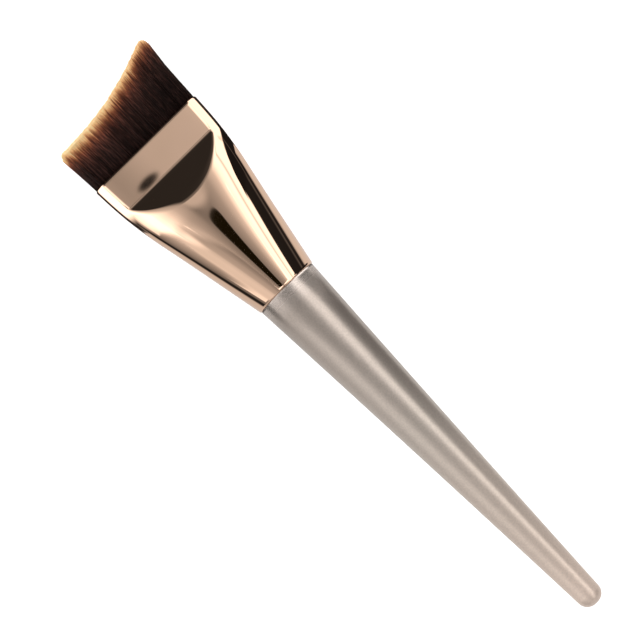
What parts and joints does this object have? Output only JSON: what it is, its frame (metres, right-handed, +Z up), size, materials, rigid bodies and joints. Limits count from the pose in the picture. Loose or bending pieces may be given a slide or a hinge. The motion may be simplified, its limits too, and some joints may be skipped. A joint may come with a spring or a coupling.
{
  "type": "angled foundation brush",
  "caption": "Flat foundation brush with an angled, curved head of dyed filaments, a pressed rose-gold ferrule and a tapered satin handle.",
  "frame": {"origin": "on the table under the middle of the brush, as it lies at rest", "axes": "+Y along the brush towards the bristles, +X across the head towards its long side, +Z up from the table through the head's thickness"},
  "size_m": [0.0325, 0.1647, 0.0172],
  "materials": {
    "filament": "satin",
    "plated_brass": "polished",
    "painted_wood": "satin",
    "resin": "gloss",
    "wood_glue": "satin"
  },
  "bodies": {
    "root": {"bristles": "filament", "ferrule": "plated_brass", "handle": "painted_wood", "epoxy_plug": "resin", "handle_glue": "wood_glue"}
  },
  "joints": []
}
